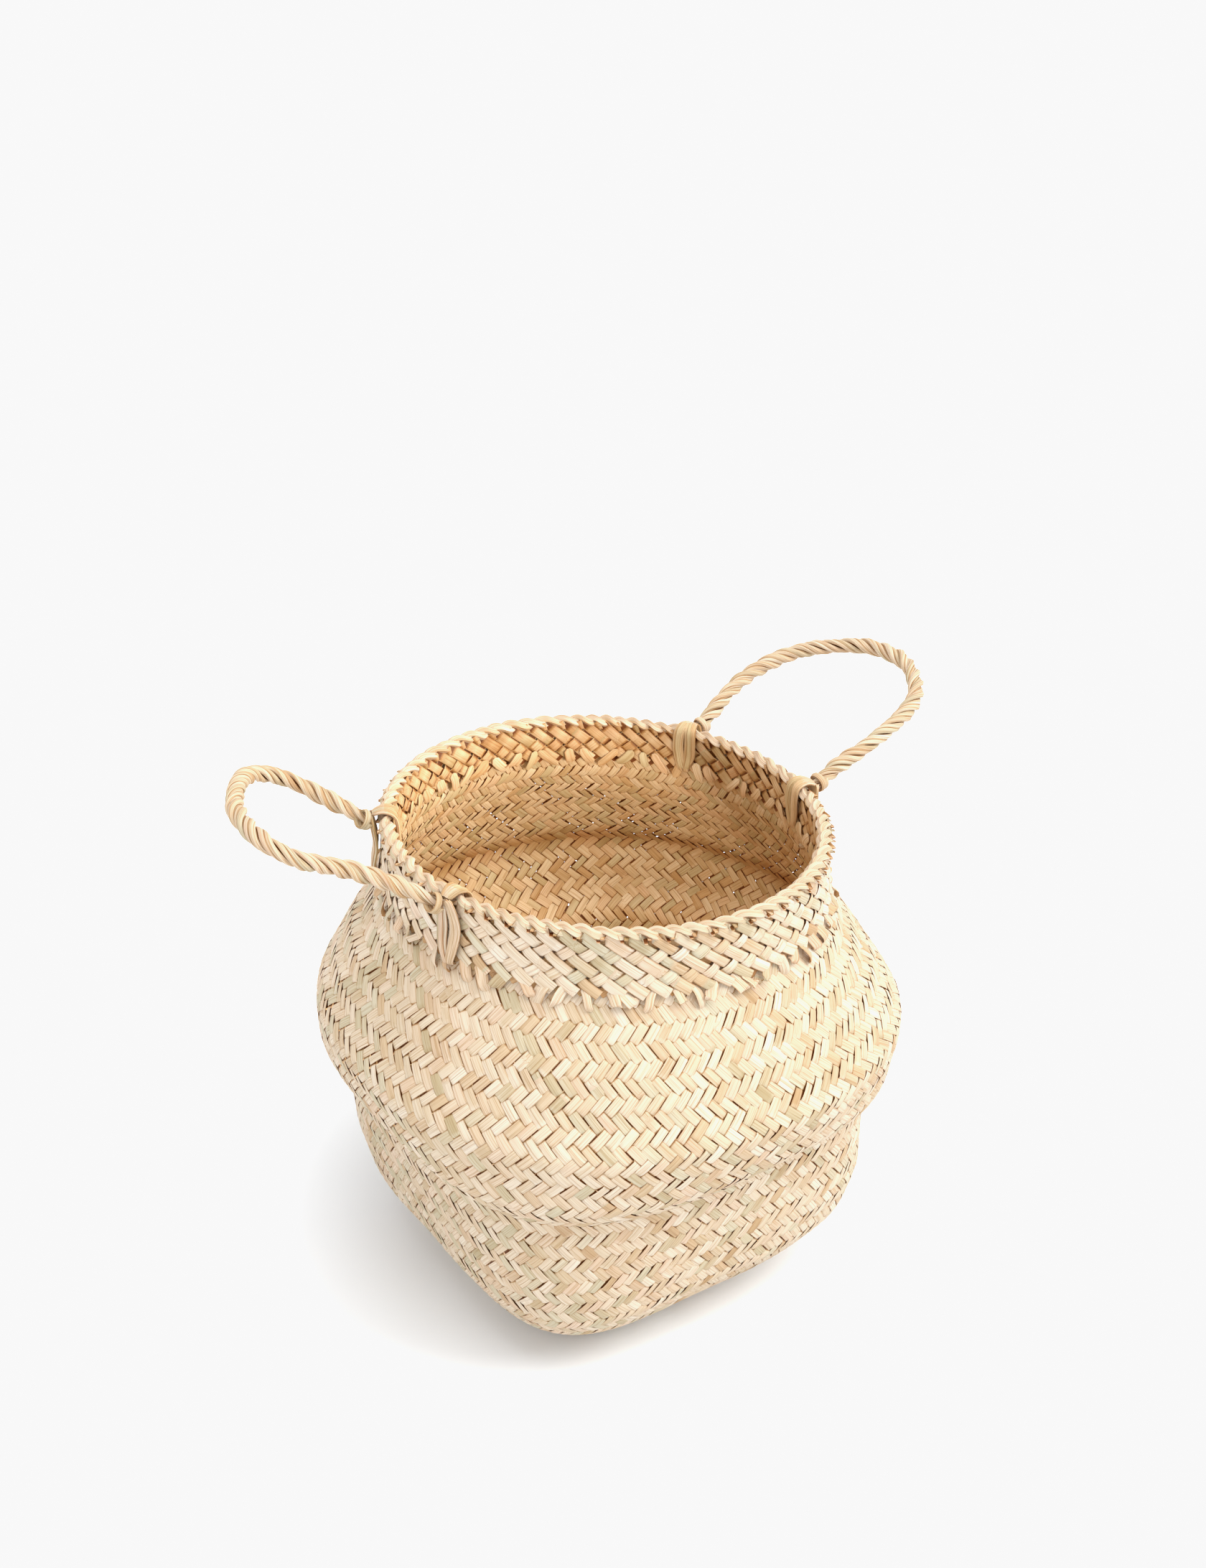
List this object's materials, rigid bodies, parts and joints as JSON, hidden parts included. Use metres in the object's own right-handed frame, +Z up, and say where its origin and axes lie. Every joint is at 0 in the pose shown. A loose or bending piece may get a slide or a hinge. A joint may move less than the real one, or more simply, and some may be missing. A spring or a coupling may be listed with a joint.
{
  "type": "storage basket",
  "caption": "Woven seagrass belly basket with a folded waist, a rounded-square foot, a double rim band and twisted rope loop handles.",
  "frame": {"origin": "centre of the flat base, on the floor", "axes": "+Z up, +X towards the right handle, the foot's flat sides face X and Y"},
  "size_m": [0.435, 0.3012, 0.3282],
  "materials": {
    "woven_wall": "natural dried seagrass, semi-matt",
    "woven_base": "natural dried seagrass, semi-matt",
    "rim_band": "natural dried seagrass, semi-matt",
    "rim_twist": "natural dried seagrass, semi-matt",
    "tuck_ends": "natural dried seagrass, semi-matt",
    "handle_rope": "natural dried seagrass, semi-matt",
    "sling": "natural dried seagrass, semi-matt"
  },
  "bodies": {
    "lower_body": {"base_mat": "woven_base", "lower_wall": "woven_wall", "waist_fold": "woven_wall"},
    "upper_body": {"belly_wall": "woven_wall", "rim_band_outer": "rim_band", "rim_band_inner": "rim_band", "rim_edge": "rim_twist", "rim_tucks": "tuck_ends", "right_front_sling": "sling", "right_rear_sling": "sling", "left_front_sling": "sling", "left_rear_sling": "sling"},
    "right_handle": {"right_handle_strand_a": "handle_rope", "right_handle_strand_b": "handle_rope", "right_handle_strand_c": "handle_rope", "right_foot_wraps": "handle_rope"},
    "left_handle": {"left_handle_strand_a": "handle_rope", "left_handle_strand_b": "handle_rope", "left_handle_strand_c": "handle_rope", "left_foot_wraps": "handle_rope"}
  },
  "joints": [
    {"name": "belly_press", "type": "slide", "parent": "lower_body", "child": "upper_body", "axis": [0, 0, 1], "range_m": [-0.045, 0], "deforming": ["waist_fold"]},
    {"name": "right_handle_swing", "type": "hinge", "parent": "upper_body", "child": "right_handle", "pos_m": [0.11147, 0.01965, 0.26607], "axis": [-0.1736, 0.9848, 0], "range_deg": [-87, 41]},
    {"name": "left_handle_swing", "type": "hinge", "parent": "upper_body", "child": "left_handle", "pos_m": [-0.11257, 0.01183, 0.27899], "axis": [-0.1045, -0.9945, 0], "range_deg": [-73, 55]}
  ]
}
